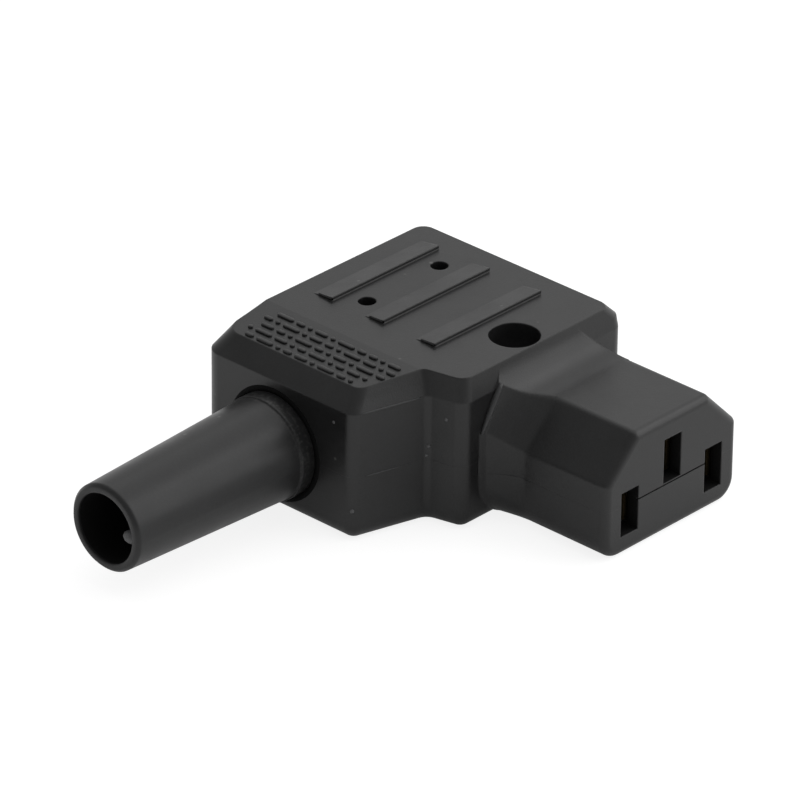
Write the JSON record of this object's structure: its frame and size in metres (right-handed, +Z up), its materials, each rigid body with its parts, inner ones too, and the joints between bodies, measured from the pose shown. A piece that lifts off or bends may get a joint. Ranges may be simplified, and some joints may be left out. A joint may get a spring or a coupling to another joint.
{
  "type": "right-angled rewireable power connector",
  "caption": "Right-angled black connector: chamfered outlet with line, neutral and earth slots, screwed split shell and a tapered hollow cable sleeve.",
  "frame": {"origin": "on the outlet's flat face, midway between the line and neutral slots and at the height of their centres", "axes": "+X out of the outlet's face, the way the connector is pushed onto an inlet; -Y the way the cable leaves; +Z up from the resting face to the roof with the grip pads"},
  "size_m": [0.0464, 0.0645, 0.0193],
  "materials": {
    "shell": "fine matte moulded grain",
    "sleeve": "smooth, slightly glossy",
    "contact": "bright rolled strip",
    "spring": "bright spring strip",
    "screw": "zinc plated",
    "clamp": "matte moulding"
  },
  "bodies": {
    "root": {"upper_shell": "shell", "lower_shell": "shell", "bend_sleeve": "sleeve", "line_contact": "contact", "neutral_contact": "contact", "earth_contact": "contact", "line_spring": "spring", "neutral_spring": "spring", "earth_spring": "spring", "line_terminal_screw": "screw", "neutral_terminal_screw": "screw", "earth_terminal_screw": "screw", "line_clamp_plate": "screw", "neutral_clamp_plate": "screw", "earth_clamp_plate": "screw", "cord_clamp": "clamp", "clamp_screw_back": "screw", "clamp_screw_front": "screw", "housing_screw": "screw"}
  },
  "joints": []
}
